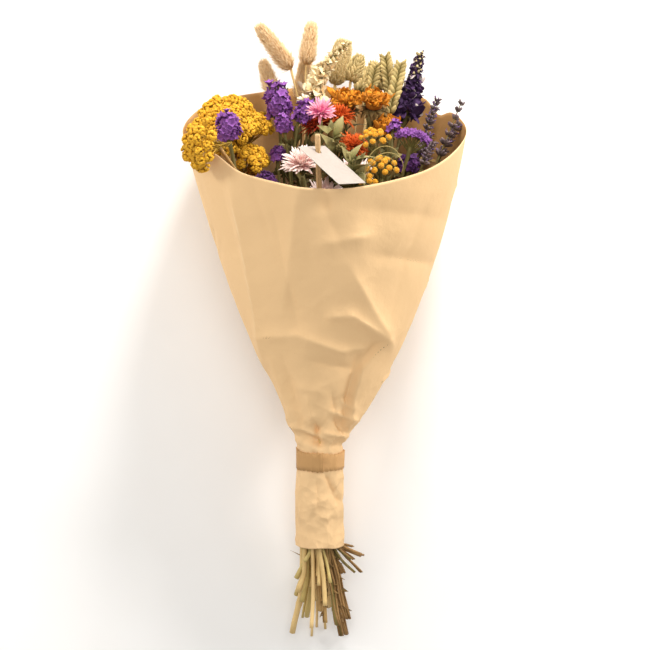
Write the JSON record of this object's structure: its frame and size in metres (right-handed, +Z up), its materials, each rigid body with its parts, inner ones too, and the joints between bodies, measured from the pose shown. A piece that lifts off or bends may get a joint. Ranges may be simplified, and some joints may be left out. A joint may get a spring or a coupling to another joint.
{
  "type": "mixed dried flower bouquet",
  "caption": "Mixed dried flower bouquet in a flared kraft paper wrap with a paper band, a blank gift tag on a wooden pick and cut stems below, lying on its back.",
  "frame": {"origin": "middle of the bottom of the bounding box, on the surface that the bouquet lies on", "axes": "+Y from the cut stems towards the flowers, +Z up, away from the surface, with the front of the wrap and the tag facing up, +X to the right seen from above with the flowers at the top"},
  "size_m": [0.2736, 0.6134, 0.24],
  "materials": {
    "kraft_paper": "matte kraft paper, creased",
    "band_paper": "matte darker kraft paper strip",
    "elastic": "matte tan elastic",
    "card": "smooth off-white card, bare",
    "pick_wood": "raw bamboo or birch",
    "bunny_tail": "dry, soft beige hairs",
    "green_grass": "dry, green-beige husks",
    "violet_flower": "dry, dark violet petals",
    "cream_flower": "dry, cream petals",
    "lavender": "dry, grey-blue calyces",
    "purple_flower": "papery vivid purple calyces on green stems",
    "yellow_flower": "dry, mustard-yellow florets",
    "pink_flower": "papery pink bracts",
    "pale_pink_flower": "papery pale pink bracts",
    "orange_red_flower": "dry, red-orange florets",
    "orange_flower": "dry, golden-orange petals",
    "leaf": "dry, grey-green leaves"
  },
  "bodies": {
    "root": {"paper_wrap": "kraft_paper", "paper_band": "band_paper", "stem_tie": "elastic", "tag_card": "card", "tag_pick": "pick_wood", "bunny_tail_1": "bunny_tail", "bunny_tail_2": "bunny_tail", "bunny_tail_3": "bunny_tail", "bunny_tail_4": "bunny_tail", "bunny_tail_5": "green_grass", "canary_grass_1": "green_grass", "canary_grass_2": "green_grass", "canary_grass_3": "green_grass", "wheat_ear_1": "green_grass", "wheat_ear_2": "green_grass", "wheat_ear_3": "green_grass", "white_larkspur": "cream_flower", "purple_larkspur": "violet_flower", "lavender_1": "lavender", "lavender_2": "lavender", "lavender_3": "lavender", "lavender_4": "lavender", "lavender_5": "lavender", "statice_1": "purple_flower", "statice_2": "purple_flower", "statice_3": "purple_flower", "statice_4": "purple_flower", "statice_5": "purple_flower", "statice_6": "purple_flower", "statice_7": "purple_flower", "statice_8": "purple_flower", "statice_9": "purple_flower", "yarrow_1": "yellow_flower", "yarrow_2": "yellow_flower", "yarrow_3": "yellow_flower", "yarrow_4": "yellow_flower", "pink_star_1": "pink_flower", "pale_star_1": "pale_pink_flower", "pale_star_2": "pale_pink_flower", "pale_star_3": "pale_pink_flower", "safflower_1": "orange_red_flower", "safflower_2": "orange_red_flower", "safflower_3": "orange_red_flower", "golden_daisy_1": "orange_flower", "golden_daisy_2": "orange_flower", "golden_daisy_3": "orange_flower", "button_cluster_1": "yellow_flower", "button_cluster_2": "yellow_flower", "button_cluster_3": "yellow_flower", "winged_daisy_1": "cream_flower", "leafy_sprig_1": "leaf", "leafy_sprig_2": "leaf", "leafy_sprig_3": "leaf", "leafy_sprig_4": "leaf", "leafy_sprig_5": "leaf"}
  },
  "joints": []
}
